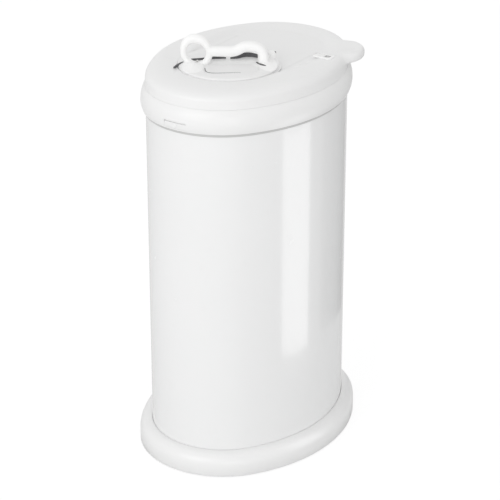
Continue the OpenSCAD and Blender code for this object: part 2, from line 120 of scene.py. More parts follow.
class BinColours(bpy.types.PropertyGroup):
    body: colour("Body paint", "Gloss paint on the steel body", (0.86, 0.862, 0.862))
    shell: colour("Lid and collar", "White moulding of the lid, collar and base", (0.86, 0.86, 0.858))
    handle: colour("Handle", "Brighter white of the handle", (0.945, 0.945, 0.94))
    # this grey also colours the band under the collar that stands in for the shadow under its lip
    inner: colour("Inner mouldings", "Plain moulding of the hidden parts", (0.57, 0.57, 0.565))
    rail: colour("Rails", "Slippery moulding of the rails", (0.85, 0.85, 0.848))
    # the seals' dark grey also colours the strips and plate that stand in for shade on the handle and in the
    # lock's recess
    seal: colour("Seals", "Soft dark grey seal", (0.075, 0.075, 0.078))
    foot: colour("Feet", "Rubber of the feet", (0.035, 0.035, 0.035))
    steel: colour("Screws", "Bright steel of screws and pin", (0.62, 0.61, 0.6))
    spring: colour("Spring", "Spring wire", (0.5, 0.5, 0.52))


def sizes():
    return bpy.context.scene.bin_sizes


def size(name):
    """One of the bin's sizes in millimetres."""
    return getattr(sizes(), name) / MM


# ---------------------------------------------------------------- finishes


class Wire:
    """A shader socket that can stand in a sum; each sum adds its Math node."""

    def __init__(self, nodes, socket):
        self.nodes, self.socket = nodes, socket

    def join(self, operation, first, second):
        return self.nodes.node("ShaderNodeMath", {"operation": operation}, {0: first, 1: second})

    def __add__(self, other):
        return self.join("ADD", self, other)

    def __mul__(self, other):
        return self.join("MULTIPLY", self, other)

    __radd__, __rmul__ = __add__, __mul__


class Nodes:
    """A node tree whose nodes are all made by one method."""

    def __init__(self, tree):
        self.tree = tree

    def add(self, kind, settings, sockets):
        """Makes a node: first its settings, then the values or links of its sockets."""
        made = self.tree.nodes.new(kind)
        for key, value in settings.items():
            setattr(made, key, value)
        for key, value in sockets.items():
            self.feed(made, key, value)
        return made

    def feed(self, node, socket, value):
        if isinstance(value, Wire):
            self.tree.links.new(value.socket, node.inputs[socket])
        else:
            node.inputs[socket].default_value = value

    def node(self, kind, settings, sockets, out=0):
        return Wire(self, self.add(kind, settings, sockets).outputs[out])


class Finish(Nodes):
    """One procedural material; the named arguments are constants of its shader."""

    def __init__(self, name, **constants):
        self.material = bpy.data.materials.new(name)
        self.material.use_nodes = True
        super().__init__(self.material.node_tree)
        self.tree.nodes.clear()
        values = {socket.replace("_", " "): value for socket, value in constants.items()}
        self.shader = self.add("ShaderNodeBsdfPrincipled", {}, values)
        self.lit = Wire(self, self.shader.outputs[0])
        self.output = self.add("ShaderNodeOutputMaterial", {}, {0: self.lit})
        self.place = self.node("ShaderNodeTexCoord", {}, {}, "Object")

    def look(self, base, rough):
        self.feed(self.shader, "Base Color", base)
        self.feed(self.shader, "Roughness", rough)

    def bump(self, height, strength, distance):
        sockets = {"Height": height, "Strength": strength, "Distance": distance}
        self.feed(self.shader, "Normal", self.node("ShaderNodeBump", {}, sockets))

    def noise(self, scale, detail=2.0, rough=0.5):
        sockets = {"Vector": self.place, "Scale": scale, "Detail": detail, "Roughness": rough}
        return self.node("ShaderNodeTexNoise", {}, sockets)

    def ramp(self, wire, low, high):
        """0 below low, 1 above high and smooth between."""
        settings = {"interpolation_type": "SMOOTHSTEP"}
        return self.node("ShaderNodeMapRange", settings, {"Value": wire, "From Min": low, "From Max": high})

    def mix(self, share, first, second):
        sockets = {0: share, 6: first, 7: second}
        return self.node("ShaderNodeMix", {"data_type": "RGBA"}, sockets, 2)

    def edges(self, low=0.52, high=0.6):
        """1 along outer edges, where hands and cloths rub."""
        return self.ramp(self.node("ShaderNodeNewGeometry", {}, {}, "Pointiness"), low, high)


def shade(base, share):
    """The colour made darker or lighter by a share, with full alpha."""
    return (base[0] * share, base[1] * share, base[2] * share, 1)


def moulded(name, base, rough, grain, depth, peel=0.0, **constants):
    """Moulded or painted surface: faint clouding, fine grain, rubbed edges and soft scuffs."""
    made = Finish(name, **constants)
    cloud = made.noise(7, 3)
    scuff = made.ramp(made.noise(38, 6, 0.7), 0.56, 0.74)
    worn = made.edges() * made.ramp(made.noise(90, 3), 0.35, 0.7)
    paint = made.mix(cloud, shade(base, 0.985), shade(base, 1.015))
    paint = made.mix(scuff * 0.25, paint, shade(base, 0.95))
    paint = made.mix(worn * 0.3, paint, shade(base, 0.93))
    made.look(paint, rough + 0.05 * cloud + 0.1 * scuff + 0.12 * worn)
    height = made.noise(grain, 2)
    if peel:
        height = height + peel * made.noise(grain / 5, 1)
    made.bump(height, 1.0, depth)
    return made.material


def rubber(name, base):
    """Matt rubber with a dusty bloom and a pitted skin."""
    made = Finish(name, Specular_IOR_Level=0.35)
    bloom = made.ramp(made.noise(120, 5, 0.65), 0.45, 0.75)
    dusty = made.mix(bloom * 0.4, shade(base, 1), shade(base, 1.8))
    made.look(made.mix(made.edges() * 0.4, dusty, shade(base, 2.2)), 0.62 + 0.2 * bloom)
    made.bump(made.noise(1400, 3), 0.6, 0.00008)
    return made.material


def steel(name, base, rough):
    """Bright steel with brushed roughness and dull spots."""
    made = Finish(name, Metallic=1.0)
    spots = made.ramp(made.noise(300, 4, 0.6), 0.5, 0.72)
    dulled = made.mix(spots * 0.35, shade(base, 1), shade(base, 0.75))
    base_color = made.mix(made.edges() * 0.5, dulled, shade(base, 1.2))
    made.look(base_color, rough + 0.15 * spots + 0.08 * made.noise(2000, 2))
    made.bump(made.noise(2500, 2), 0.4, 0.00004)
    return made.material


def matt(name, scale, dark, pale):
    """Matt studio paper or cloth, a little uneven in tone."""
    made = Finish(name, Roughness=0.9, Specular_IOR_Level=0.1)
    tones = [(tone, tone, tone, 1) for tone in (dark, pale)]
    made.feed(made.shader, "Base Color", made.mix(made.noise(scale), *tones))
    return made


def finish_of(slot):
    """The material of one of the record's slots, made when first asked for."""
    name = "finish_" + slot
    if name in bpy.data.materials:
        return bpy.data.materials[name]
    tint = bpy.context.scene.bin_colours
    makers = {
        "painted_steel": lambda: moulded(
            name, tint.body, 0.16, 900, 0.00002, 1.2, Coat_Weight=0.4, Coat_Roughness=0.06),
        "base_plastic": lambda: moulded(name, tint.shell, 0.26, 1500, 0.00003, 0.6),
        "lid_plastic": lambda: moulded(name, tint.shell, 0.33, 1500, 0.00003, 0.6),
        "handle_plastic": lambda: moulded(name, tint.handle, 0.28, 1800, 0.00002, 0.5),
        "inner_plastic": lambda: moulded(name, tint.inner, 0.5, 900, 0.00005),
        "rail_plastic": lambda: moulded(name, tint.rail, 0.38, 1600, 0.00003),
        "seal_rubber": lambda: rubber(name, tint.seal),
        "foot_rubber": lambda: rubber(name, tint.foot),
        "screw_steel": lambda: steel(name, tint.steel, 0.28),
        "spring_steel": lambda: steel(name, tint.spring, 0.22),
    }
    return makers[slot]()


# ---------------------------------------------------------------- mesh making


def placed(name, data):
    """An object for this mesh, lamp or camera, in the scene."""
    made = bpy.data.objects.new(name, data)
    bpy.context.scene.collection.objects.link(made)
    return made


def shell_mesh(name, verts, faces, weld=False):
    """A closed mesh from points in millimetres, with its faces turned outwards."""
    mesh = bpy.data.meshes.new(name)
    mesh.from_pydata([Vector(v) * MM for v in verts], [], faces)
    edit = bmesh.new()
    edit.from_mesh(mesh)
    if weld:
        bmesh.ops.remove_doubles(edit, verts=edit.verts, dist=0.002 * MM)
    bmesh.ops.recalc_face_normals(edit, faces=edit.faces)
    edit.to_mesh(mesh)
    edit.free()
    return mesh


def piece(name, verts, faces, body, slot, nodes=(), sharp=40):
    """A closed shell as a piece of the bin, in place of the CAD nodes named."""
    made = placed(name, shell_mesh(name, verts, faces, True))
    dress(made, slot, sharp)
    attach(made, body)
    if nodes:
        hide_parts(*nodes)
    return made


def dress(made, slot, sharp=40):
    """Gives a piece its finish and smooth shading up to an angle in degrees."""
    made.data.materials.clear()
    made.data.materials.append(finish_of(slot))
    made.data.shade_smooth()
    made.data.set_sharp_from_angle(angle=math.radians(sharp))


def carry_over(node, slot, bevel=0.0):
    """A CAD piece that shows as it is, with its finish and softened edges."""
    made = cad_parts[node]
    made.data.materials.clear()
    made.data.materials.append(finish_of(slot))
    if bevel:
        soften = made.modifiers.new("soften", "BEVEL")
        soften.width, soften.segments, soften.limit_method = bevel * MM, 2, "ANGLE"
        soften.angle_limit = math.radians(50)


def apply_modifiers(made):
    """Turns the object's modifiers into its mesh."""
    graph = bpy.context.evaluated_depsgraph_get()
    mesh = bpy.data.meshes.new_from_object(made.evaluated_get(graph))
    made.modifiers.clear()
    made.data = mesh


def skin(rings, wrap=False):
    """Quads between loops of equal count; wrap joins the last loop to the first."""
    count = len(rings[0])
    verts = [p for ring in rings for p in ring]
    faces = []
    for i in range(len(rings) if wrap else len(rings) - 1):
        a, b = i * count, (i + 1) % len(rings) * count
        faces += [(a + j, a + (j + 1) % count, b + (j + 1) % count, b + j) for j in range(count)]
    if not wrap:
        faces.append(tuple(range(count)))
        faces.append(tuple(range(len(verts) - count, len(verts))))
    return verts, faces


def joined(*shells):
    """Several closed shells as one mesh."""
    verts, faces = [], []
    for more, quads in shells:
        faces += [tuple(i + len(verts) for i in face) for face in quads]
        verts += more
    return verts, faces


def rounded(corners, steps=6):
    """Section with its corners rounded: each corner is (x, y) or (x, y, radius)."""
    line = []
    for i, corner in enumerate(corners):
        spot = Vector(corner[:2])
        radius = corner[2] if len(corner) > 2 else 0
        if not radius:
            line.append(tuple(spot))
            continue
        back = Vector(corners[i - 1][:2]) - spot
        ahead = Vector(corners[(i + 1) % len(corners)][:2]) - spot
        half = back.angle(ahead) / 2
        reach = min(radius / math.tan(half), back.length * 0.49, ahead.length * 0.49)
        radius = reach * math.tan(half)
        middle = spot + (back.normalized() + ahead.normalized()).normalized() * (radius / math.sin(half))
        start = spot + back.normalized() * reach - middle
        end = spot + ahead.normalized() * reach - middle
        turn = math.atan2(start.cross(end), start.dot(end))
        for k in range(steps + 1):
            line.append(tuple(middle + Matrix.Rotation(turn * k / steps, 2) @ start))
    return line


def oval_arcs():
    """The body's oval in millimetres: centre and radius of its end arcs, then of its side arcs."""
    s = sizes()
    end_c = (s.body_len / 2 - s.end_r) / MM
    k = end_c - (s.body_len - s.body_wid) / 2 / MM
    side_c = (end_c**2 - k**2) / (2 * k)
    return end_c, s.end_r / MM, side_c, s.body_wid / 2 / MM + side_c


def oval_line(end_steps=56, side_steps=72):
    """Stations round the body's face, each (x, y, outward x, outward y)."""
    end_c, end_r, side_c, side_r = oval_arcs()
    lean = math.degrees(math.atan2(side_c, end_c))
    arcs = [
        (0, end_c, end_r, 90 - lean, 90 + lean, end_steps),
        (side_c, 0, side_r, 90 + lean, 270 - lean, side_steps),
        (0, -end_c, end_r, 270 - lean, 270 + lean, end_steps),
        (-side_c, 0, side_r, 270 + lean, 450 - lean, side_steps),
    ]
    line = []
    for cx, cy, radius, start, stop, steps in arcs:
        for i in range(steps):
            a = math.radians(start + (stop - start) * i / steps)
            line.append((cx + radius * math.cos(a), cy + radius * math.sin(a), math.cos(a), math.sin(a)))
    return line


def oval_sweep(section):
    """Closed section, x out from the body's face and y up, carried round the oval."""
    line = oval_line()
    return skin([[(x + nx * out, y + ny * out, z) for x, y, nx, ny in line] for out, z in section], True)


def lathe(section, cx=0.0, cy=0.0, count=96, wrap=False):
    """Section of (radius, height) turned round an upright axis."""
    turns = [(math.cos(2 * math.pi * i / count), math.sin(2 * math.pi * i / count)) for i in range(count)]
    return skin([[(cx + radius * c, cy + radius * s, z) for c, s in turns] for radius, z in section], wrap)


def turned(shell, matrix):
    """The shell moved by a matrix."""
    return [tuple(matrix @ Vector(v)) for v in shell[0]], shell[1]


def tube(path, count=40, square=2.0):
    """Closed tube along points (x, y, z, half across, half up) in the plane across Y."""
    rings = []
    for i, (x, y, z, wide, high) in enumerate(path):
        before, after = path[max(i - 1, 0)], path[min(i + 1, len(path) - 1)]
        along = Vector((after[0] - before[0], 0, after[2] - before[2])).normalized()
        up = Vector((-along.z, 0, along.x))
        ring = []
        for k in range(count):
            a = 2 * math.pi * k / count
            c, s = math.cos(a), math.sin(a)
            c, s = (math.copysign(abs(t) ** (2 / square), t) for t in (c, s))
            ring.append(tuple(Vector((x, y + wide * c, z)) + up * (high * s)))
        rings.append(ring)
    return skin(rings)


def smooth_line(points, steps=8):
    """Catmull-Rom line through points of any width."""

    def between(t, a, b, c, d):
        start = 2 * b + (c - a) * t + (2 * a - 5 * b + 4 * c - d) * t**2
        return 0.5 * (start + (3 * b - a - 3 * c + d) * t**3)

    line = []
    for i in range(len(points) - 1):
        near = [points[max(0, min(len(points) - 1, i + k))] for k in (-1, 0, 1, 2)]
        line += [tuple(between(j / steps, *values) for values in zip(*near)) for j in range(steps)]
    return line + [tuple(points[-1])]


def ease(value, low, high):
    """0 up to low, 1 from high on and smooth between."""
    t = max(0.0, min(1.0, (value - low) / (high - low)))
    return t * t * (3 - 2 * t)


def soft_min(a, b, k):
    """The smaller of two distances, blended where they differ by less than k."""
    h = max(k - abs(a - b), 0.0) / k
    return min(a, b) - h * h * k / 4


def carve(made, cutter, sharp=40):
    """Cuts a closed shell, given in millimetres, out of a piece."""
    tool = placed("cutter", shell_mesh("cutter", *cutter))
    cut = made.modifiers.new("cut", "BOOLEAN")
    cut.operation, cut.solver, cut.object = "DIFFERENCE", "EXACT", tool
    bpy.context.view_layer.update()
    apply_modifiers(made)
    bpy.data.objects.remove(tool)
    made.data.set_sharp_from_angle(angle=math.radians(sharp))


def slab(outline, levels):
    """Closed shell from a flat outline: levels are (inset, height) pairs up the side."""
    cx = sum(p[0] for p in outline) / len(outline)
    cy = sum(p[1] for p in outline) / len(outline)
    rings = []
    for inset, z in levels:
        ring = []
        for x, y in outline:
            away = Vector((x - cx, y - cy))
            away *= max(0.0, 1 - inset / max(away.length, 1e-6))
            ring.append((cx + away.x, cy + away.y, z))
        rings.append(ring)
    return skin(rings)


def boxy(x0, x1, y0, y1, r, count=5):
    """Oblong outline with round corners."""
    return rounded([(x0, y0, r), (x1, y0, r), (x1, y1, r), (x0, y1, r)], count)


# ---------------------------------------------------------------- operators


class MakerOperator(bpy.types.Operator):
    """Shared settings of the makers; each raises an error if it can't finish"""

    bl_options = {"REGISTER", "UNDO"}


class BIN_OT_base(MakerOperator):
    """Flared base ring that the body stands in"""

    bl_idname = "nappy_bin.base"
    bl_label = "Base ring"

    def execute(self, context):
        out, top = size("foot_out"), size("foot_h")
        low = heights("base_ring")[0]
        wall, fit = 2.5, 0.25
        arc = out - fit
        crown = [(fit + arc * math.cos(math.radians(a)), top - arc + arc * math.sin(math.radians(a)))
                 for a in range(3, 90, 3)]
        section = [(out - 0.6, low), (out, low + 0.8), (out, top - arc)] + crown
        section += rounded([(fit + 1.2, top), (fit, top, 0.5), (fit, top - wall)])
        section += [(out - wall - 3, top - out * 0.62), (out - wall, top - out), (out - wall, low)]
        piece("base_flare", *oval_sweep(section), "bin", "base_plastic", ["base_ring"], 50)
        return {"FINISHED"}


class BIN_OT_body(MakerOperator):
    """Painted sheet steel body, with its lower and upper edges softened"""

    bl_idname = "nappy_bin.body"
    bl_label = "Body"

    def execute(self, context):
        low, high, wall, edge = BODY_LOW, BODY_HIGH, 1.0, 0.3
        levels = [low + (high - low) * i / 24 for i in range(1, 24)]
        section = [(0.0, low + edge)] + [(0.0, z) for z in levels] + [(0.0, high - edge), (-edge, high)]
        section += [(edge - wall, high), (-wall, high - edge)] + [(-wall, z) for z in reversed(levels)]
        section += [(-wall, low + edge), (edge - wall, low), (-edge, low)]
        piece("body_tube", *oval_sweep(section), "bin", "painted_steel", ["body_shell"])
        return {"FINISHED"}


def collar_profile():
    """The collar's outer face from its low lip to its top, as (out from the body, height)."""
    low, top = COLLAR_LOW, COLLAR_HIGH
    high, bulge = top - low, size("collar_out")
    return smooth_line([
        (3.8, low + 0.9), (4.9, low + high * 0.12), (6.0, low + high * 0.25), (bulge, low + high * 0.4),
        (6.1, low + high * 0.58), (4.6, low + high * 0.77), (2.5, low + high * 0.91), (1.2, top - 0.9),
    ], 4)


def front_face(x, out):
    """Depth at a place across the front, for a face this far out from the body."""
    end_c, end_r = oval_arcs()[:2]
    return -end_c - math.sqrt((end_r + out)**2 - x**2)


def collar_face(x, z):
    """Depth of the collar's front face at a place across and up."""
    line = collar_profile()
    out = line[0][0]
    for (near, low), (far, high) in zip(line, line[1:]):
        if low <= z <= high:
            out = near + (far - near) * (z - low) / (high - low)
            break
    return front_face(x, out)


def front_block(half, low, high, corner, face, out):
    """Block with round corners, bent like the front of the bin.

    face(x, z, rim) gives the depth of its front, and out says how far out from the body its back lies.
    """
    stations, rows = 40, 8
    rings = []
    for i in range(stations + 1):
        x = half * math.sin(math.pi * (i / stations - 0.5))
        cut = corner - math.sqrt(corner**2 - max(0.0, abs(x) - half + corner)**2)
        bottom, top = low + cut, high - cut
        levels = [bottom, bottom + 0.15]
        levels += [bottom + (top - bottom) * k / rows for k in range(1, rows)] + [top - 0.15, top]
        ring = [(x, face(x, z, z in (bottom, top) or i in (0, stations)), z) for z in levels]
        rings.append(ring + [(x, front_face(x, out), top), (x, front_face(x, out), bottom)])
    return skin(rings)


def button_height():
    low, high = heights("release_button")
    return (low + high) / 2


class BIN_OT_collar(MakerOperator):
    """Collar round the top of the body, with the pocket for the push button"""

    bl_idname = "nappy_bin.collar"
    bl_label = "Collar"

    def execute(self, context):
        low, top, seat = COLLAR_LOW, COLLAR_HIGH, BODY_HIGH
        section = [(0.35, low), (3.0, low), (3.5, low + 0.25)] + collar_profile()
        section += rounded([(1.1, top - 0.7), (0.8, top, 0.15), (-1.5, top, 0.9), (-1.5, top - 2.5)])[1:-1]
        section += [(-1.5, seat + 3.6), (-1.9, seat + 3), (-11.6, seat + 3), (-12, seat + 2.6)]
        section += [(-12, seat + 0.2), (-3.2, seat + 0.2), (-3.2, low + 3), (-1.2, low + 3)]
        section += [(-1.2, seat + 0.2), (0.35, seat + 0.2)]
        made = piece("collar_band", *oval_sweep(section), "bin", "lid_plastic", ["collar"], 38)
        z = button_height()

        def clear(x, height, rim):
            return front_face(x, 12.0)

        carve(made, front_block(17.55, z - 5.55, z + 2.9, 2.4, clear, POCKET_FLOOR), 38)
        # shallow scoop that lets a finger find the button's upper edge
        carve(made, front_block(16.8, z + 0.5, z + 5.0, 2.0, clear, 4.5), 38)
        # grey band under the collar's lip as painted shadow, in the inner moulding's colour
        shadow_band = rounded([(0.1, low - 4.0), (0.9, low - 4.0, 0.4), (0.9, low + 0.2), (0.1, low + 0.2)], 4)
        piece("collar_shadow_band", *oval_sweep(shadow_band), "bin", "inner_plastic")
        return {"FINISHED"}


class BIN_OT_button(MakerOperator):
    """Push button under the front rim, its stem and its return spring"""

    bl_idname = "nappy_bin.button"
    bl_label = "Push button"

    def execute(self, context):
        low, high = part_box("release_button")
        z, face, tail = button_height(), low.y / MM, high.y / MM
        cap = front_block(17.5, z - 5.5, z + 2.7, 2.4, self.cap_face, POCKET_FLOOR + BUTTON_TRAVEL + 0.15)
        stem = lathe([(3.0, 2.0), (3.0, tail - face - 0.3), (2.6, tail - face)], count=40)
        back = Matrix.Translation((0, face, z)) @ Matrix.Rotation(math.radians(-90), 4, "X")
        shell = joined(cap, turned(stem, back))
        piece("push_button", *shell, "button", "lid_plastic", ["release_button"], 38)
        self.spring()
        return {"FINISHED"}

    @staticmethod
    def cap_face(x, z, rim):
        """The cap's front lies just behind the collar's, and its rim a little further back."""
        return collar_face(x, z) + (0.45 if rim else 0.2)

    def spring(self):
        """Coil on the stem; the real spring squashes as the button is pushed, but this mesh keeps one length.
        """
        low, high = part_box("button_spring")
        wire, turns, steps = 0.4, 4, 36
        radius = (high.x - low.x) / 2 / MM - wire
        z, back, seat = (low.z + high.z) / 2 / MM, low.y / MM + wire, high.y / MM - wire
        round_wire = [2 * math.pi * k / 10 for k in range(10)]
        along = Vector((0, 1, 0))
        rings = []
        for i in range(turns * steps + 1):
            a = 2 * math.pi * i / steps
            away = Vector((math.cos(a), 0, math.sin(a)))
            middle = Vector((0, back + (seat - back) * i / (turns * steps), z)) + away * radius
            ring = [middle + wire * (away * math.cos(b) + along * math.sin(b)) for b in round_wire]
            rings.append([tuple(spot) for spot in ring])
        made = piece("return_spring", *skin(rings), "button", "spring_steel", ["button_spring"])
        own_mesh(made)


class BIN_OT_hinge(MakerOperator):
    """Hinge bracket, pin and screws on the back of the collar"""

    bl_idname = "nappy_bin.hinge"
    bl_label = "Hinge"

    def execute(self, context):
        carry_over("hinge_bracket", "lid_plastic", 0.5)
        carry_over("hinge_pin", "screw_steel", 0.3)
        carry_over("hinge_screws", "screw_steel")
        return {"FINISHED"}


class BIN_OT_bag_ring(MakerOperator):
    """Loose ring that clamps the bag's mouth in the collar"""

    bl_idname = "nappy_bin.bag_ring"
    bl_label = "Bag ring"

    def execute(self, context):
        low, high = heights("bag_ring")
        seat = BODY_HIGH + 3
        section = rounded([
            (-8.5, seat, 0.3), (-8.5, high, 1.1), (-15.5, high, 1.8), (-15.5, low, 1.2), (-12.3, low, 1.2),
            (-12.3, seat, 0.2)])
        piece("bag_clamp_ring", *oval_sweep(section), "bin", "inner_plastic", ["bag_ring"], 50)
        return {"FINISHED"}


def crossing(distance, centre, angle, level, far=260.0):
    """Radius along a ray at which distance() first passes level, found by halving."""
    dx, dy = math.cos(angle), math.sin(angle)
    near = 0.0
    for _ in range(34):
        middle = (near + far) / 2
        if distance(centre[0] + dx * middle, centre[1] + dy * middle) < level:
            near = middle
        else:
            far = middle
    return near


class LidShape:
    """Loops of the lid's shell, on rays from one point inside its rim and its drop hole"""

    count = 420

    def __init__(self):
        self.end_c, self.end_r, self.side_c, self.side_r = oval_arcs()
        self.ear = size("ear_x"), size("ear_y"), size("ear_r")
        self.disc_y, self.travel = size("disc_y"), size("travel")
        self.centre = (0.0, 24 - self.disc_y)
        self.rays = [2 * math.pi * i / self.count for i in range(self.count)]
        self.rim = self.where(self.outline, 0)
        self.body = self.where(self.oval, 0)
        # how far the ear takes the rim away from the oval, and what that does to the edge's radii
        self.away = [max(0.0, self.oval(*self.point(a, r))) for a, r in zip(self.rays, self.rim)]
        shoulder, thin = size("shoulder"), 5.5
        self.bend = [shoulder + (thin - shoulder) * ease(h, 0.5, 14.0) for h in self.away]
        self.under = [min(3.5, h * 0.5) for h in self.away]
        # in front the shoulder starts further in, so the lid falls softly towards the rim
        self.front = [ease(-math.sin(a), 0.1, 0.8) for a in self.rays]
        middle = [ease(-math.sin(a), 0.84, 0.97) for a in self.rays]
        self.reach = [b * (1 + 1.2 * f + 0.7 * m) for b, f, m in zip(self.bend, self.front, middle)]
        self.lip_ray = self.where(self.track, size("disc_r") + 0.6)
        self.wall_ray = self.where(self.track, size("disc_r") + 3.6)
        self.shelf = self.where(self.outline, [-b - 3 for b in self.reach])
        # behind the disc the track's edge opens into a long soft slope
        self.open_share = [
            ease(self.point(a, r)[1], -self.disc_y - 14, 34) for a, r in zip(self.rays, self.lip_ray)]
        self.slope = [max(2.0, min(24.0, far - near - 2.5)) for far, near in zip(self.shelf, self.wall_ray)]

    def oval(self, x, y):
        x, y = abs(x), abs(y)
        if self.side_c * y > self.end_c * (x + self.side_c):
            return math.hypot(x, y - self.end_c) - self.end_r
        return math.hypot(x + self.side_c, y) - self.side_r

    def outline(self, x, y):
        """Distance from the rim, with the ear blended into the oval."""
        ear_x, ear_y, ear_r = self.ear
        return soft_min(self.oval(x, y), math.hypot(x - ear_x, y - ear_y) - ear_r, 9.0)

    def track(self, x, y):
        """Distance from the line that the hatch's centre slides along."""
        return math.hypot(x, y - max(-self.disc_y, min(self.travel - self.disc_y, y)))

    def hole(self, x, y):
        return math.hypot(x, y + self.disc_y)

    def point(self, angle, radius):
        return self.centre[0] + radius * math.cos(angle), self.centre[1] + radius * math.sin(angle)

    def where(self, distance, level):
        """Radius on every ray at which a distance reaches its level."""
        levels = level if isinstance(level, list) else [level] * self.count
        return [crossing(distance, self.centre, a, each) for a, each in zip(self.rays, levels)]

    def ring(self, radii, z):
        levels = z if isinstance(z, list) else [z] * self.count
        return [(*self.point(a, r), each) for a, r, each in zip(self.rays, radii, levels)]

    def edge(self, start, drop, far):
        """One loop of the track's edge: a tight lip in front, a slope behind."""
        radii, levels = [], []
        low = DECK - TRACK_DEPTH * (1 - ease(far, 0, 1))
        for lip, wall, wide, part in zip(start, self.wall_ray, self.slope, self.open_share):
            radii.append(lip + (wall + wide * far - lip) * part)
            levels.append((DECK - drop) * (1 - part) + low * part)
        return self.ring(radii, levels)

    def top(self):
        """From the track's lip over the deck and down the rounded shoulder."""
        steps = 9
        lips = ((0.0, 1.0, 0.62), (0.1, 0.55, 0.7), (0.4, 0.2, 0.78), (0.9, 0.05, 0.87), (1.6, 0.0, 0.95),
                (5.0, 0.0, 1.0))
        rings = [self.edge([r + inset for r in self.lip_ray], drop, far) for inset, drop, far in lips]
        rings.append(self.ring(self.shelf, DECK))
        for i in range(steps, -1, -1):
            a = math.radians(90 * i / steps)
            radii = self.where(self.outline, [-b * (1 - math.cos(a)) for b in self.reach])
            rings.append(self.ring(radii, [DECK - b * (1 - math.sin(a)) for b in self.bend]))
        return rings

    def underside(self):
        """The ear's underside, which closes to nothing round the rest, and the lid's lower edge."""
        ear_low, lid_low = DECK - size("ear_t"), COLLAR_HIGH + 0.06
        rings = []
        for i in range(4):
            a = math.radians(30 * i)
            radii = [r - u * (1 - math.cos(a)) for r, u in zip(self.rim, self.under)]
            low = ear_low + 0.15 * (3 - i)
            rings.append(self.ring(radii, [low + u * (1 - math.sin(a)) for u in self.under]))
        near = [min(h, 1.2) for h in self.away]
        rings.append(self.ring([b + h for b, h in zip(self.body, near)], ear_low - 0.05))
        rings.append(self.ring(self.body, [ear_low - h * 0.8 - 0.2 for h in near]))
        for out, up in ((0.5, 0.6), (0.55, 0.12), (0.3, 0.0), (-2.5, 0.0)):
            rings.append(self.ring([b + out for b in self.body], lid_low + up))
        return rings

    def inside(self):
        """The hollow under the deck, the drop hole, and the track's floor and wall."""
        track_z, floor_low = DECK - TRACK_DEPTH, DECK - TRACK_DEPTH - 2.5
        rings = [
            self.ring([b - inset for b in self.body], [DECK - drop - more * f for f in self.front])
            for inset, drop, more in ((2.5, 12.0, 1.5), (5.5, 5.0, 3.6), (12.5, 2.5, 2.6))]
        walls = zip(self.where(self.track, size("disc_r") + 5.8), self.slope, self.open_share)
        tub = [r + (wide - 1.0) * part for r, wide, part in walls]
        rings += [self.ring(tub, DECK - 2.5), self.ring(tub, floor_low)]
        for more, z in ((0.0, floor_low), (0.0, track_z - 0.6), (0.6, track_z)):
            rings.append(self.ring(self.where(self.hole, size("drop_r") + more), z))
        rings.append(self.ring(self.wall_ray, track_z))
        for drop, far in ((4.3, 0.12), (3.0, 0.24), (1.6, 0.38)):
            rings.append(self.edge(self.wall_ray, drop, far))
        rings.append(self.edge(self.lip_ray, LIP, 0.5))
        return rings


def lock_seat():
    """Left end, middle line and half width of the recess that the lock slider moves in."""
    low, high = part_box("lock_slide")
    return low.x / MM - RUN, (low.y + high.y) / 2 / MM, (high.y - low.y) / 2 / MM + RUN


def lock_recess(depth, above):
    """Cutter for that recess, from a depth under the deck to a height above it."""
    x, y, half = lock_seat()
    return slab(boxy(x, x + RECESS_LEN, y - half, y + half, 0.6), [(0, DECK - depth), (0, DECK + above)])


class BIN_OT_lid(MakerOperator):
    """Lid moulding with its rounded shoulder, lifting ear, hatch track and hinge knuckle"""

    bl_idname = "nappy_bin.lid"
    bl_label = "Lid"

    def execute(self, context):
        shape = LidShape()
        shell = skin(shape.top() + shape.underside() + shape.inside(), True)
        made = piece("lid_moulding", *shell, "lid", "lid_plastic", ["lid_shell"], 38)
        x, y, _ = lock_seat()
        carve(made, lock_recess(1, 2))
        carve(made, slab(boxy(x + 3, x + 19.2, y - 2.4, y + 2.4, 1.2), [(0, DECK - 3.4), (0, DECK + 1)]))
        piece("lid_knuckle", *joined(*self.knuckle()), "lid", "lid_plastic")
        return {"FINISHED"}

    def knuckle(self):
        """Barrel on the hinge pin and the arm that joins it to the lid."""
        low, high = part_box("hinge_pin")
        y, z, half = (low.y + high.y) / 2 / MM, (low.z + high.z) / 2 / MM, 13.0
        across = Matrix.Translation((0, y, z)) @ Matrix.Rotation(math.radians(90), 4, "Y")
        line = [(2.05, -half), (4.1, -half), (4.5, 0.4 - half), (4.5, half - 0.4), (4.1, half), (2.05, half)]
        barrel = lathe(line, count=48, wrap=True)
        arm = rounded([
            (y - 12.4, z + 2.9, 0.3), (y + 0.5, z + 2.9, 0.3), (y + 1.6, z + 4.4, 1.2),
            (y - 3.0, z + 6.6, 2.5), (y - 12.4, z + 7.4, 0.3)], 3)
        return turned(barrel, across), skin([[(x, back, up) for back, up in arm] for x in (-half, half)])


class BIN_OT_lid_inside(MakerOperator):
    """Liner, gasket, catch plate and rails inside the lid"""

    bl_idname = "nappy_bin.lid_inside"
    bl_label = "Lid inside"

    def execute(self, context):
        carry_over("lid_liner", "inner_plastic")
        carry_over("latch_plate", "screw_steel", 0.4)
        carry_over("latch_rivets", "screw_steel")
        carry_over("lid_screws", "screw_steel")
        low, high = heights("lid_gasket")
        middle = (low + high) / 2
        section = rounded([
            (-4.5, low, 0.3), (-3.3, low, 0.5), (-2.35, middle - 0.3, 0.6), (-2.35, middle + 0.3, 0.6),
            (-3.3, high, 0.5), (-4.5, high, 0.3)], 4)
        piece("odour_gasket", *oval_sweep(section), "lid", "seal_rubber", ["lid_gasket"], 60)
        flush = DECK - TRACK_DEPTH
        for side in ("left", "right"):
            low, high = (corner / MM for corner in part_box("rail_" + side))
            outline = boxy(low.x, high.x, low.y, high.y, 0.8)
            strip = slab(outline, [(0, low.z), (0, flush), (0.1, flush + 0.04)])
            piece("glide_" + side, *strip, "lid", "rail_plastic", ["rail_" + side])
        return {"FINISHED"}


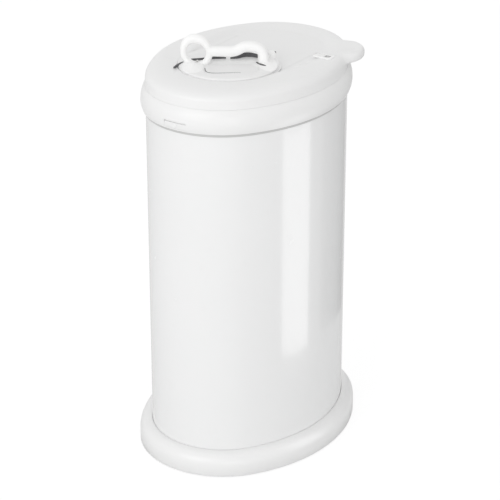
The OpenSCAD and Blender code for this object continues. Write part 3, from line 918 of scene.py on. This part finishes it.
class BIN_OT_lock(MakerOperator):
    """Ribbed lock slider right of the hatch, its raised frame and the keeper under it"""

    bl_idname = "nappy_bin.lock"
    bl_label = "Hatch lock"

    def execute(self, context):
        low, high = (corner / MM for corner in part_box("lock_slide"))
        y, half, base, top = (low.y + high.y) / 2, (high.y - low.y) / 2, DECK - 0.7, high.z
        line = [(low.x, base), (low.x, top - 0.7), (low.x + 0.7, top - 0.35)]
        ribs, pitch = 4, 2.4
        for i in range(1, ribs + 1):
            start = low.x + pitch * i
            line += [(start, top), (start + 0.8, top), (start + 1.2, top - 0.6), (start + 1.8, top - 0.6)]
        line += [(high.x - 0.7, top - 0.3), (high.x, top - 0.9), (high.x, base)]
        sides = ((-half, 0.5), (0.5 - half, 0.0), (half - 0.5, 0.0), (half, 0.5))
        cap = skin([[(x, y + side, max(base, z - inset)) for x, z in line] for side, inset in sides])
        neck = slab(boxy(low.x + 3.2, high.x - 3.8, y - 2, y + 2, 1.6), [(0, low.z), (0, base + 0.5)])
        piece("lock_slider", *joined(cap, neck), "lock", "handle_plastic", ["lock_slide"])
        carry_over("lock_keeper", "inner_plastic", 0.3)
        self.raised_frame()
        return {"FINISHED"}

    def raised_frame(self):
        """Low frame round the slider's recess, with a dark grey plate at the recess's free end as painted
        shade.
        """
        x, y, half = lock_seat()
        outline = boxy(x - 0.4, x + 26.5, y - half - 4.1, y + half + 4.1, 4.0)
        levels = [(0, DECK - 0.4), (0, DECK + 0.3), (0.4, DECK + 0.9), (1.2, DECK + 1.1)]
        made = piece("lock_frame", *slab(outline, levels), "lid", "handle_plastic")
        carve(made, lock_recess(2, 3))
        # dark plate as painted shade in the free end of the recess
        floor = boxy(x + 19.5, x + 22.5, y - half + 0.2, y + half - 0.2, 0.4)
        piece("lock_recess_shade", *slab(floor, [(0, DECK - 1.2), (0, DECK - 0.8)]), "lid", "seal_rubber")


def on_disc(shell):
    """A shell from the handle's own frame: u along the handle, v across it, and up from the disc's top."""
    place = Matrix.Translation((0, -size("disc_y"), DISC_TOP))
    return turned(shell, place @ Matrix.Rotation(sizes().handle_turn, 4, "Z"))


class BIN_OT_hatch(MakerOperator):
    """Hatch disc with its dished middle, and the seal under it"""

    bl_idname = "nappy_bin.hatch"
    bl_label = "Hatch disc"

    dish_depth = 1.9

    def hollow(self, x, y):
        """How deep the disc's top lies under its rim at a point: an oblong dish with soft sides."""
        turn = -sizes().handle_turn
        y += size("disc_y")
        u = x * math.cos(turn) - y * math.sin(turn)
        v = x * math.sin(turn) + y * math.cos(turn)
        corner, half_u, half_v = 10.0, 36.0, 25.5
        du, dv = abs(u - 2.0) - (half_u - corner), abs(v + 17.5) - (half_v - corner)
        inside = corner - math.hypot(max(du, 0.0), max(dv, 0.0)) - min(max(du, dv), 0.0)
        width = 2.0 + 4.0 * ease(-v, 28.0, 40.0) + 15.0 * ease(v, -20.0, 8.0)
        return self.dish_depth * ease(inside, 0.0, width)

    def execute(self, context):
        r, cy = size("disc_r"), -size("disc_y")
        low, top, edge, step = DISC_LOW, DISC_TOP, 2.6, 1.55
        section = [(1.0 + i * step, top) for i in range(int((r - edge - 2) / step))] + [(r - edge - 1.0, top)]
        for i in range(10):
            a = math.radians(10 * i)
            section.append((r - edge * (1 - math.sin(a)), top - edge * (1 - math.cos(a))))
        flange, seat = r + 2.8, DECK - LIP - RUN
        section += [(r, seat), (flange - 0.4, seat), (flange, seat - 0.4)]
        section += [(flange, low + 0.3), (flange - 0.3, low), (1.0, low)]
        verts, faces = lathe(section, 0.0, cy, 240)
        verts = [(x, y, z - self.hollow(x, y) if z > top - 0.01 else z) for x, y, z in verts]
        piece("hatch_plate", verts, faces, "hatch", "lid_plastic", ["hatch_disc"], 38)
        low, high = heights("hatch_seal")
        inner, outer = size("drop_r") + 1.55, size("drop_r") + 4.95
        seal = rounded([(inner, low, 1.3), (outer, low, 1.3), (outer, high, 0.3), (inner, high, 0.3)], 5)
        piece("drop_seal", *lathe(seal, 0.0, cy, 144, True), "hatch", "seal_rubber", ["hatch_seal"], 60)
        return {"FINISHED"}


class BIN_OT_handle(MakerOperator):
    """Handle moulding: finger ring, bar and leg, with dark grey strips round them as painted shade"""

    bl_idname = "nappy_bin.handle"
    bl_label = "Handle"

    def execute(self, context):
        bar = tube(smooth_line([
            (-25, 0, 15.6, 5.8, 6.6), (-8, 0, 14.9, 6.2, 6.8), (0, 0, 14.5, 6.2, 7.1),
            (5, 0, 14.6, 6.2, 6.9), (10, 0, 15.5, 6.2, 6.7), (15, 0, 17.8, 6.4, 6.8),
            (20.4, 0, 20.6, 6.6, 6.6), (24, 0, 21.4, 6.8, 6.3), (28, 0, 21.2, 7.2, 6.6),
            (33, 0, 20.5, 7.8, 6.6), (38, 0, 19.0, 8.6, 6.5), (42.5, 0, 15.6, 9.6, 6.6),
            (45, 0, 10.4, 11.2, 6.9), (45.6, 0, 4.0, 12.8, 7.2), (45.6, 0, -2.0, 13.8, 7.6)], 5), 48, 2.6)
        heel = self.mound(50.0, -10.0, 13.0, 30.0, 2.4)
        foot = self.mound(-47.0, -14.0, 14.5, 26.0, 4.6)
        boss = lathe([(5.8, -1), (5.8, 6.4), (5.2, 8.0), (3.6, 9.0), (1.4, 9.4)], 57.6, 14.0, 40)
        shell = on_disc(joined(self.ring(), bar, heel, foot, boss))
        made = piece("handle_moulding", *shell, "hatch", "handle_plastic", ["handle"])
        merge = made.modifiers.new("merge", "REMESH")
        merge.mode, merge.voxel_size, merge.use_smooth_shade = "VOXEL", 0.7 * MM, True
        ease_off = made.modifiers.new("ease", "SMOOTH")
        ease_off.factor, ease_off.iterations = 0.5, 6
        bpy.context.view_layer.update()
        apply_modifiers(made)
        dress(made, "handle_plastic", 60)
        self.strips()
        return {"FINISHED"}

    def ring(self):
        """Upright finger ring that leans back a little; its foot is cut off inside the disc."""
        wide, high, middle, lean, place = 16.6, 18.3, 14.9, 0.12, -41.5
        half_deep, sunk = 5.2, -3.5
        loops = []
        for i in range(72):
            t = 2 * math.pi * i / 72
            along = Vector((-wide * math.sin(t), 0, high * math.cos(t))).normalized()
            away = Vector((along.z, 0, -along.x))
            rise = high * math.sin(t)
            spot = Vector((place + wide * math.cos(t) - lean * rise, 0, middle + rise))
            thick = 4.3 + 2.2 * max(0.0, math.sin(t)) ** 2 + 0.6 * max(0.0, -math.sin(t))
            loop = []
            for k in range(28):
                c = 2 * math.pi * k / 28
                u, v, w = spot + away * thick * math.cos(c) + Vector((0, half_deep * math.sin(c), 0))
                loop.append((u, v, max(w, sunk + 0.05 * (w - sunk))))
            loops.append(loop)
        return skin(loops, True)

    def mound(self, u, v, along, across, rise):
        """Soft swelling on the disc that runs out flat, with an oval foot of the given half sizes."""
        line = [(1.0, -2.0)] + [(1 - i / 16, rise * ease(i / 16, 0, 1)) for i in range(16)]
        place = Matrix.Translation((u, v, 0)) @ Matrix.Diagonal((along, across, 1.0, 1.0))
        return turned(lathe(line, count=64), place)

    def strips(self):
        """Dark strips as painted shade: painted shadow behind the finger gap, at both feet, along the dish's
        rim, and a dark dot on the boss.
        """
        left = [
            (-52, 8.6, 1.2), (-48, 9.9, 2.4), (-33, 12.0, 2.6), (-18, 14.8, 3.4), (-8, 15.0, 3.2),
            (-2, 15.6, 2.6)]
        right = [
            (3.5, 14.0, 2.6), (10, 13.6, 4.0), (15, 15.3, 5.0), (20, 19.2, 5.6), (28, 20.4, 5.8),
            (36, 17.6, 5.0), (42, 13.4, 4.0)]
        lines = [smooth_line(strip, 5) for strip in (left, right)]
        # painted shadow under the bar, seen through the finger gap
        behind = [self.kerb([(u, v, -1.0, top, 1.6) for u, v, top in line]) for line in lines]
        # painted shadow where the leg meets the disc
        clasp_foot_shade = self.kerb([
            (36.5, -3, -2.6, 0.7, 1.6), (39, -9, -2.6, 1.0, 2.8), (42, -14.5, -1, 1.6, 3.0),
            (44.5, -18.5, -1, 2.0, 2.6), (47, -21.5, -1, 2.0, 1.4)])
        # painted shade in the gap at the disc's left edge, by the ring's foot
        left_edge_shade = self.kerb([
            (-58.5, 5.5, -1.5, 0.4, 1.6), (-62, 0, -1.5, 1.0, 2.4), (-67, -8, -1.5, 1.0, 2.8),
            (-71, -15, -1.5, 0.4, 1.8)])
        floor = 0.15 - BIN_OT_hatch.dish_depth
        # painted shade along the dish's left and near rim
        round_dish = smooth_line([
            (-30.8, -8, 0.6), (-31.2, -18, 1.2), (-30.6, -28, 1.6), (-26.5, -34, 1.8), (-19, -36.2, 2.0),
            (-8, -36.4, 1.8), (4, -36.4, 1.2), (14, -36.4, 0.5)], 5)
        dish_rim_shade = self.kerb([(u, v, floor - 1, floor, thick) for u, v, thick in round_dish])
        # dark dot as painted shade on the boss's right side
        dot = lathe([(1.5, 0), (1.5, 8.2), (0.9, 8.7), (0.3, 8.8)], 61.8, 13.4, 24)
        # these dark grey strips are painted shade, not parts of the handle
        piece("painted_shade_strips", *on_disc(joined(*behind, clasp_foot_shade, left_edge_shade, dish_rim_shade, dot)), "hatch", "seal_rubber")

    def kerb(self, line):
        """Upright strip along points (u, v, low, high, thickness)."""
        rings = []
        for i, (u, v, low, high, thick) in enumerate(line):
            before, after = line[max(i - 1, 0)], line[min(i + 1, len(line) - 1)]
            along = Vector((after[0] - before[0], after[1] - before[1])).normalized() * thick / 2
            corners = ((-1, low), (1, low), (1, high - 0.3), (0.5, high), (-0.5, high), (-1, high - 0.3))
            rings.append([(u + along.y * side, v - along.x * side, w) for side, w in corners])
        return skin(rings)


class BIN_OT_hidden_pieces(MakerOperator):
    """Pan, feet, clips and screws that keep their CAD shape"""

    bl_idname = "nappy_bin.hidden_pieces"
    bl_label = "Pan, feet and screws"

    def execute(self, context):
        carry_over("base_pan", "inner_plastic")
        carry_over("rubber_feet", "foot_rubber")
        carry_over("button_clip", "spring_steel")
        for node in ("base_screws", "collar_screws", "handle_screws"):
            carry_over(node, "screw_steel")
        return {"FINISHED"}


class BIN_OT_stage(MakerOperator):
    """White floor, soft lamps and the camera"""

    bl_idname = "nappy_bin.stage"
    bl_label = "Stage"

    def execute(self, context):
        self.floor()
        self.world(context.scene)
        self.lamp("key", (-0.1, -2.85, 1.4), (0, 0, 0.35), 2.0, 1.6, 18.5)
        self.lamp("side", (2.0, -1.9, 0.5), (0, 0, 0.35), 1.4, 0.9, 5.5)
        glint = self.lamp("glint", (0.385, 0.083, 0.187), (0.05, 0.0, 0.187), 0.19, 0.372, 0.42)
        glint.visible_diffuse = glint.visible_camera = False
        self.dark_card()
        self.camera(context.scene)
        return {"FINISHED"}

    def floor(self):
        """Paper that takes the bin's shadow and glows enough to look white to the camera."""
        half = 30.0
        mesh = bpy.data.meshes.new("floor")
        corners = [(-half, -half, 0), (half, -half, 0), (half, half, 0), (-half, half, 0)]
        mesh.from_pydata(corners, [], [(0, 1, 2, 3)])
        paper = matt("floor_paper", 3, 0.8, 0.82)
        seen = paper.node("ShaderNodeLightPath", {}, {}, "Is Camera Ray")
        glow = paper.node("ShaderNodeEmission", {}, {"Strength": 1.12})
        blend = paper.node("ShaderNodeMixShader", {}, {0: seen * 0.75, 1: paper.lit, 2: glow})
        paper.feed(paper.output, 0, blend)
        mesh.materials.append(paper.material)
        placed("floor", mesh)

    def world(self, scene):
        """Soft white all round: brighter to the camera and in reflections than as light."""
        scene.world = bpy.data.worlds.new("studio")
        scene.world.use_nodes = True
        nodes = Nodes(scene.world.node_tree)
        shown = nodes.node("ShaderNodeLightPath", {}, {}, "Is Camera Ray")
        for kind in ("Is Transmission Ray", "Is Glossy Ray"):
            shown = shown.join("MAXIMUM", shown, nodes.node("ShaderNodeLightPath", {}, {}, kind))
        level = nodes.node("ShaderNodeMapRange", {}, {"Value": shown, "To Min": 0.82, "To Max": 1.0})
        back = nodes.tree.nodes["Background"]
        nodes.feed(back, "Strength", level)
        nodes.feed(back, "Color", (1, 1, 1, 1))

    def lamp(self, name, place, aim, wide, high, power):
        lamp = bpy.data.lights.new(name, "AREA")
        lamp.shape, lamp.size, lamp.size_y, lamp.energy = "RECTANGLE", wide, high, power
        made = placed(name, lamp)
        made.location = place
        made.rotation_mode = "QUATERNION"
        made.rotation_quaternion = (Vector(aim) - Vector(place)).to_track_quat("-Z", "Y")
        return made

    def dark_card(self):
        """Curved studio flag behind the bin, seen only in its gloss."""
        radius, height = 0.42, 0.62
        turns = [math.radians(a) for a in range(42, 92, 5)]
        verts = [(radius * math.cos(a), radius * math.sin(a), z) for z in (0.0, height) for a in turns]
        count = len(turns)
        mesh = bpy.data.meshes.new("dark_card")
        mesh.from_pydata(verts, [], [(i, i + 1, count + i + 1, count + i) for i in range(count - 1)])
        mesh.materials.append(matt("flag_cloth", 40, 0.46, 0.5).material)
        made = placed("dark_card", mesh)
        made.visible_camera = made.visible_diffuse = made.visible_shadow = made.visible_transmission = False

    def camera(self, scene):
        turn, rise = math.radians(34.0), math.radians(24.39)
        focal, picture = 1976.65, 500  # focal length and picture width in pixels
        aim, away, sensor = Vector((0.00204, 0.00138, 0.26258)), 2.71629, 36.0
        back = Vector((math.sin(turn) * math.cos(rise), -math.cos(turn) * math.cos(rise), math.sin(rise)))
        data = bpy.data.cameras.new("camera")
        data.sensor_width, data.lens = sensor, focal * sensor / picture
        made = placed("camera", data)
        made.location = aim + back * away
        made.rotation_mode = "QUATERNION"
        made.rotation_quaternion = (-back).to_track_quat("-Z", "Y")
        scene.camera = made
        scene.view_settings.view_transform = "Standard"


MAKERS = (
    BIN_OT_stage, BIN_OT_base, BIN_OT_body, BIN_OT_collar, BIN_OT_button, BIN_OT_hinge, BIN_OT_bag_ring,
    BIN_OT_lid, BIN_OT_lid_inside, BIN_OT_lock, BIN_OT_hatch, BIN_OT_handle, BIN_OT_hidden_pieces,
)


class BIN_PT_makers(bpy.types.Panel):
    """Lists the makers of the nappy bin's pieces"""

    bl_label = "Nappy bin"
    bl_idname = "BIN_PT_makers"
    bl_space_type = "VIEW_3D"
    bl_region_type = "UI"
    bl_category = "Nappy bin"

    def draw(self, context):
        for maker in MAKERS:
            self.layout.operator(maker.bl_idname)


CLASSES = (BinSizes, BinColours, *MAKERS, BIN_PT_makers)


def register():
    for each in CLASSES:
        bpy.utils.register_class(each)
    bpy.types.Scene.bin_sizes = PointerProperty(type=BinSizes)
    bpy.types.Scene.bin_colours = PointerProperty(type=BinColours)


def unregister():
    del bpy.types.Scene.bin_colours
    del bpy.types.Scene.bin_sizes
    for each in reversed(CLASSES):
        bpy.utils.unregister_class(each)


def main():
    register()
    for maker in MAKERS:
        group, name = maker.bl_idname.split(".")
        getattr(getattr(bpy.ops, group), name)()


if __name__ == "__main__":
    main()
